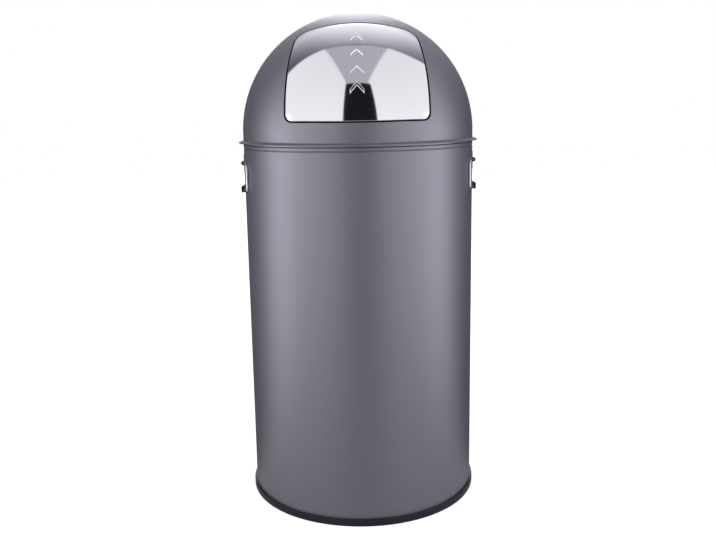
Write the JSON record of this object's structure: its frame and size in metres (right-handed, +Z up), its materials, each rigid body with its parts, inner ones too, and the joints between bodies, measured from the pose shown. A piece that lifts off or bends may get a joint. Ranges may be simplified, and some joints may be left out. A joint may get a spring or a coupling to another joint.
{
  "type": "dome-top push bin",
  "caption": "Round free-standing kitchen bin: steel cylinder on a foot ring, lift-off dome lid with a sprung push flap, drop handles at the sides and a galvanised bucket with a bail inside.",
  "frame": {"origin": "centre of the foot ring's underside, on the floor", "axes": "+Z up along the body's axis, the flap faces -Y, the side handles are at -X (left) and +X (right)"},
  "size_m": [0.364, 0.364, 0.74],
  "materials": {
    "body_paint": "satin powder coat, cool grey",
    "flap_steel": "polished stainless steel",
    "chrome_wire": "bright chrome plate",
    "black_plastic": "fine-grained black plastic",
    "grip_plastic": "smooth black plastic",
    "galvanised": "galvanised sheet with faint spangle",
    "zinc_plate": "bright zinc plate",
    "black_steel": "blackened steel strip",
    "spring_steel": "drawn spring wire",
    "nylon": "natural nylon",
    "bumper_rubber": "soft black rubber"
  },
  "bodies": {
    "bin_body": {"body_shell": "body_paint", "body_floor": "galvanised", "base_ring": "black_plastic", "handle_bracket_left": "zinc_plate", "handle_bracket_right": "zinc_plate", "handle_rivets_left": "zinc_plate", "handle_rivets_right": "zinc_plate"},
    "handle_left": {"handle_ring_left": "chrome_wire", "handle_grip_left": "grip_plastic"},
    "handle_right": {"handle_ring_right": "chrome_wire", "handle_grip_right": "grip_plastic"},
    "lid_ring": {"lid_collar": "galvanised"},
    "dome": {"dome_shell": "body_paint", "hinge_bracket_left": "zinc_plate", "hinge_bracket_right": "zinc_plate", "hinge_rod": "zinc_plate", "rod_clips": "spring_steel", "torsion_spring_left": "spring_steel", "torsion_spring_right": "spring_steel"},
    "flap": {"flap_panel": "flap_steel", "flap_ear_left": "zinc_plate", "flap_ear_right": "zinc_plate", "ear_bush_left": "nylon", "ear_bush_right": "nylon", "stop_tab_left": "black_steel", "stop_tab_right": "black_steel", "bumper_left": "bumper_rubber", "bumper_right": "bumper_rubber"},
    "bucket": {"bucket_wall": "galvanised", "bucket_floor": "galvanised", "bucket_ear_left": "zinc_plate", "bucket_ear_right": "zinc_plate", "bucket_ear_rivets": "zinc_plate"},
    "bail": {"bucket_bail": "zinc_plate", "bail_grip": "grip_plastic"}
  },
  "joints": [
    {"name": "handle_left_swing", "type": "hinge", "parent": "bin_body", "child": "handle_left", "pos_m": [-0.1771, 0, 0.521], "axis": [0, 1, 0], "range_deg": [0, 150]},
    {"name": "handle_right_swing", "type": "hinge", "parent": "bin_body", "child": "handle_right", "pos_m": [0.1771, 0, 0.521], "axis": [0, -1, 0], "range_deg": [0, 150]},
    {"name": "lid_lift", "type": "slide", "parent": "bin_body", "child": "lid_ring", "axis": [0, 0, 1], "range_m": [0, 0.7]},
    {"name": "lid_turn", "type": "hinge", "parent": "lid_ring", "child": "dome", "pos_m": [0, 0, 0.5506], "axis": [0, 0, 1], "continuous": true},
    {"name": "flap_swing", "type": "hinge", "parent": "dome", "child": "flap", "pos_m": [0, -0.06478, 0.70029], "axis": [1, 0, 0], "range_deg": [0, 60], "stiffness_Nm_per_rad": 0.25, "springref_deg": -91.67, "deforming": ["torsion_spring_left", "torsion_spring_right"]},
    {"name": "bucket_lift", "type": "slide", "parent": "bin_body", "child": "bucket", "axis": [0, 0, 1], "range_m": [0, 0.56]},
    {"name": "bail_swing", "type": "hinge", "parent": "bucket", "child": "bail", "pos_m": [0, 0, 0.5253], "axis": [1, 0, 0], "range_deg": [0, 180]}
  ],
  "couplings": [
    {"joint": "bucket_lift", "follows": "lid_lift", "ratio": 0.8}
  ]
}
